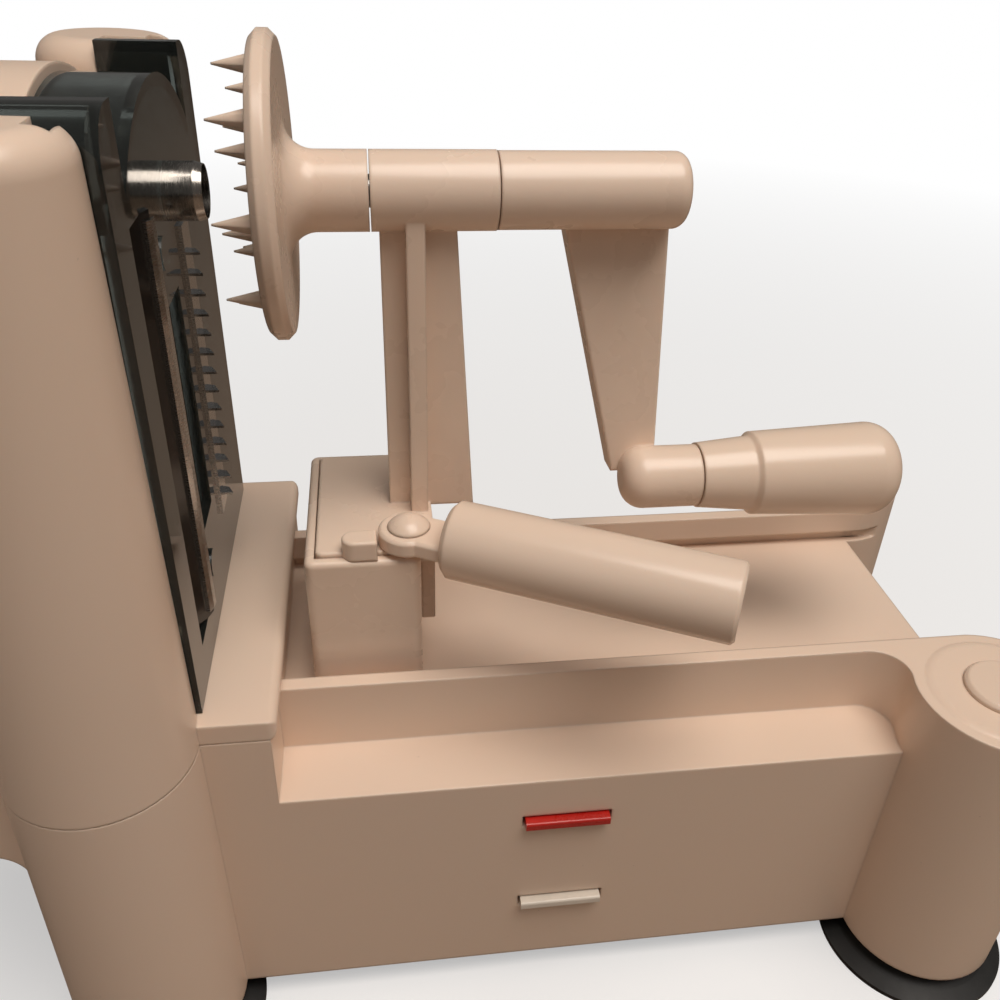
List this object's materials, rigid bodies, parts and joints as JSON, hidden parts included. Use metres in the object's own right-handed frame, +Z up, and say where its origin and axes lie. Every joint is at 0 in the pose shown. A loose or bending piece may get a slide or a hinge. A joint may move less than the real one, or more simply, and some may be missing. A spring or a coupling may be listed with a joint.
{
  "type": "spiralizer",
  "caption": "Hand cranked vegetable spiral slicer with a sliding spiked carriage, lift-out blade cassette, stored spare cassettes and suction feet.",
  "frame": {"origin": "on the table under the middle of the bounding box", "axes": "+X along the machine from the blade cassette towards the crank grip, +Y away from the push lever's side, +Z up"},
  "size_m": [0.3346, 0.181, 0.2745],
  "materials": {
    "black_plastic": "polished moulded plastic",
    "black_rubber": "soft moulded rubber",
    "blade_steel": "fine ground strip",
    "bright_steel": "polished tube",
    "bush_plastic": "plain acetal",
    "cream_cap": "satin moulded ABS",
    "cream_grip": "smooth moulded ABS",
    "cream_housing": "satin moulded ABS",
    "cream_moving": "satin moulded ABS",
    "cream_tab": "polished moulded plastic",
    "plain_steel": "turned and plated",
    "red_tab": "polished moulded plastic",
    "smoke_plastic": "smoky translucent polycarbonate",
    "smoke_tab": "polished moulded plastic"
  },
  "bodies": {
    "housing": {"base_housing": "cream_housing", "tower_frame": "cream_housing", "storage_rail_front": "cream_housing", "storage_rail_rear": "cream_housing", "corner_cap_near": "cream_cap", "corner_cap_far": "cream_cap", "suction_cup_front_near": "black_rubber", "suction_cup_front_far": "black_rubber", "suction_cup_rear_near": "black_rubber", "suction_cup_rear_far": "black_rubber"},
    "carriage": {"carriage_block": "cream_moving", "crank_post": "cream_moving", "barrel_bush_front": "bush_plastic", "barrel_bush_rear": "bush_plastic", "carriage_screws": "plain_steel", "lever_pivot_pin": "cream_moving"},
    "crank": {"spiked_disc": "cream_moving", "drive_shaft": "plain_steel", "disc_screw": "plain_steel", "crank_arm": "cream_moving", "grip_axle": "plain_steel"},
    "grip": {"crank_grip": "cream_grip"},
    "push_lever": {"lever_tongue": "cream_moving", "lever_grip": "cream_grip"},
    "blade_cassette": {"cassette_body": "smoke_plastic", "cassette_tab": "smoke_tab", "blade_ramp": "black_plastic", "straight_blade": "blade_steel", "tooth_comb": "blade_steel", "corer_tube": "bright_steel"},
    "fine_cassette": {"fine_cassette_body": "smoke_plastic", "fine_cassette_tab": "red_tab", "fine_blade_ramp": "black_plastic", "fine_straight_blade": "blade_steel", "fine_tooth_comb": "blade_steel", "fine_corer_tube": "bright_steel"},
    "ribbon_cassette": {"ribbon_cassette_body": "smoke_plastic", "ribbon_cassette_tab": "cream_tab", "ribbon_blade_ramp": "black_plastic", "ribbon_straight_blade": "blade_steel", "ribbon_corer_tube": "bright_steel"}
  },
  "joints": [
    {"name": "carriage_slide", "type": "slide", "parent": "housing", "child": "carriage", "axis": [1, 0, 0], "range_m": [-0.007, 0.15]},
    {"name": "crank_spin", "type": "hinge", "parent": "carriage", "child": "crank", "pos_m": [0, 0, 0.2385], "axis": [1, 0, 0], "continuous": true},
    {"name": "grip_spin", "type": "hinge", "parent": "crank", "child": "grip", "pos_m": [0.09, -0.00716, 0.15661], "axis": [1, 0, 0], "continuous": true},
    {"name": "lever_swing", "type": "hinge", "parent": "carriage", "child": "push_lever", "pos_m": [-0.03175, -0.0232, 0.15], "axis": [0, 0, 1], "range_deg": [-64, 23]},
    {"name": "cassette_lift", "type": "slide", "parent": "housing", "child": "blade_cassette", "axis": [0, 0, 1], "range_m": [0, 0.16]},
    {"name": "fine_spare_slide", "type": "slide", "parent": "housing", "child": "fine_cassette", "axis": [0, 1, 0], "range_m": [0, 0.13]},
    {"name": "ribbon_spare_slide", "type": "slide", "parent": "housing", "child": "ribbon_cassette", "axis": [0, 1, 0], "range_m": [0, 0.13]}
  ]
}
